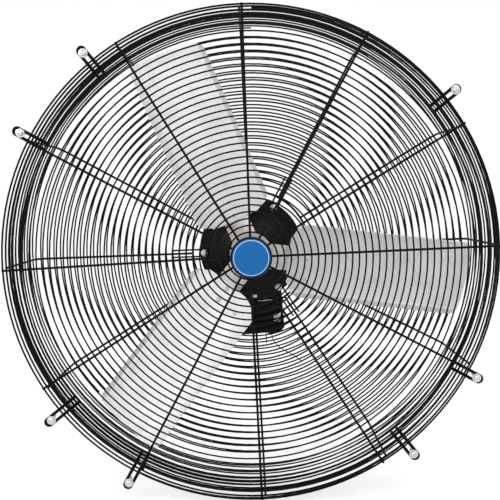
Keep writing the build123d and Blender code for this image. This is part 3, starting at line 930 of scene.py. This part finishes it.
crisp(settle(spider, "propeller", "spider_steel", "blade_spider"), angle=35)

rivet_profile = [
    (-0.0016, 0.0), (-0.0016, 0.0018), (-0.0012, 0.0034), (-0.0004, 0.0043), (0.0, 0.0045),
    (0.0054, 0.0036), (0.0064, 0.0032), (0.0068, 0.0),
]
rivet = turned("rivet", rivet_profile, segments=20, material=spider_steel)
rivet.data.transform(Matrix.Rotation(pitch, 4, "Z"))
rivet_across, rivet_inner, rivet_outer = 0.0365, 0.0747, 0.0990
rivets = []
for across, along in (
    (0.0, rivet_inner), (0.0, rivet_outer), (-rivet_across, rivet_outer), (rivet_across, rivet_outer),
):
    chord = across / cos(pitch)
    place = on_blade(chord, sheet_line(chord) - thickness / 2)
    rivets.append(moved(twin_of(rivet), (*place, along)))
bpy.data.objects.remove(rivet)
blade_rivets = joined("blade_rivets", rivets)
shape_by(
    blade_rivets,
    round_the_fan,
    first_clock_angle=first_blade,
    spacing=blade_spacing,
    count=blades,
    material=spider_steel,
)
crisp(settle(blade_rivets, "propeller", "spider_steel"))

# Badge: a domed blue disc with a pale ring near its edge, in a black cup, clamped through the
# middle of the front guard by a square plate behind the spokes.
black_plastic = finish_of(
    "black_plastic", dark=(0.004, 0.004, 0.004), light=(0.009, 0.009, 0.009), smooth=0.34, rough=0.46,
    cloud=40.0, grain=1200.0, relief=0.00005, shine=0.15,
)
pale_ring_radius = 0.0296


def pale_ring(tree, paint):
    place = step(tree, "ShaderNodeTexCoord").outputs["Object"]
    flat = step(tree, "ShaderNodeVectorMath", {0: place, 1: (1, 0, 1)}, operation="MULTIPLY")
    reach = step(tree, "ShaderNodeVectorMath", {0: flat.outputs["Vector"]}, operation="LENGTH")
    off = sums(tree, "ABSOLUTE", sums(tree, "SUBTRACT", reach.outputs["Value"], pale_ring_radius))
    line = ranged(tree, off, 0.0003, 0.0007, to_low=1.0, to_high=0.0)
    return mixed(tree, line, paint, (0.62, 0.78, 0.92))


blue_badge = finish_of(
    "blue_badge", dark=(0.004, 0.130, 0.400), light=(0.008, 0.160, 0.460), smooth=0.14, rough=0.24,
    cloud=60.0, grain=900.0, relief=0.00002, shine=0.2, mark=pale_ring,
)
cup_low, cup_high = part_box("badge_cup")
disc_low, disc_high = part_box("badge_disc")
cup_profile = [
    (cup_high.y, 0.0), (cup_high.y, 0.0345), (cup_high.y - 0.0012, 0.0357), (cup_low.y + 0.0016, 0.0357),
    (cup_low.y - 0.0006, 0.0352), (cup_low.y - 0.0010, 0.0342), (cup_low.y - 0.0006, 0.0331),
    (cup_low.y, 0.0325), (cup_low.y, 0.0),
]
cup = turned("badge_cup_body", cup_profile, segments=80, material=black_plastic)
crisp(settle(cup, "frame", "black_plastic", "badge_cup"), angle=50)
disc_profile = [
    (disc_high.y, 0.0), (disc_high.y, 0.0323), (disc_low.y + 0.0007, 0.0323), (disc_low.y + 0.0003, 0.0319),
    (disc_low.y + 0.0001, 0.0280), (disc_low.y, 0.0150), (disc_low.y, 0.0),
]
disc = turned("badge_face", disc_profile, segments=80, material=blue_badge)
crisp(settle(disc, "frame", "blue_badge", "badge_disc"), angle=50)
repaint("badge_clamp", zinc_steel)
repaint("cable_gland", black_plastic)

# Studio: a pale floor under the rim, a pale sky, a large soft lamp high at each side, and the
# camera at the height and tilt of the photograph.
white = (1, 1, 1, 1)
floor_reach, floor_height = 6, -0.4262
floor_glow, sky_light = 0.62, 0.66


def seen_ray(tree):
    ray = step(tree, "ShaderNodeLightPath").outputs
    return sums(tree, "MAXIMUM", ray["Is Camera Ray"], ray["Is Glossy Ray"])


def pale_ground(name):
    material = bare_material(name)
    tree = material.node_tree
    glow = sums(tree, "MULTIPLY", seen_ray(tree), floor_glow)
    lit = step(tree, "ShaderNodeEmission", {"Color": white, "Strength": glow}).outputs["Emission"]
    matt = step(tree, "ShaderNodeBsdfDiffuse", {"Color": (0.55, 0.55, 0.55, 1)}).outputs["BSDF"]
    both = step(tree, "ShaderNodeAddShader", {0: lit, 1: matt})
    step(tree, "ShaderNodeOutputMaterial", {"Surface": both.outputs["Shader"]})
    return material


corners = [(x * floor_reach, y * floor_reach, floor_height) for x, y in ((-1, -1), (1, -1), (1, 1), (-1, 1))]
floor = blank("floor")
floor.data.from_pydata(corners, [], [(0, 1, 2, 3)])
floor.data.materials.append(pale_ground("pale_ground"))
floor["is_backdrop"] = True

sky = bpy.data.worlds.new("sky")
bpy.context.scene.world = sky
sky.use_nodes = True
air = sky.node_tree
air.nodes.clear()
power = ranged(air, seen_ray(air), to_low=sky_light)
glow = step(air, "ShaderNodeBackground", {"Color": white, "Strength": power})
step(air, "ShaderNodeOutputWorld", {"Surface": glow.outputs["Background"]})

for name, place, size, watts in (
    ("key", (1.2, -2.2, 2.2), 1.6, 31.0),
    ("fill", (-2.0, -1.8, 1.2), 1.8, 34.0),
):
    lamp = bpy.data.lights.new(name, "AREA")
    lamp.size = size
    lamp.energy = watts
    light = bpy.data.objects.new(name, lamp)
    bpy.context.scene.collection.objects.link(light)
    light.location = place
    light.rotation_euler = (Vector((0, 0, 0)) - Vector(place)).to_track_quat("-Z", "Y").to_euler()

lens = bpy.data.cameras.new("camera")
lens.lens = 65.53
lens.sensor_width = 36
camera = bpy.data.objects.new("camera", lens)
camera.location = (-0.00205, -1.54808, 0.14693)
camera.rotation_euler = (radians(85), 0, 0)
bpy.context.scene.collection.objects.link(camera)
bpy.context.scene.camera = camera
bpy.context.scene.view_settings.view_transform = "Standard"

low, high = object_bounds()
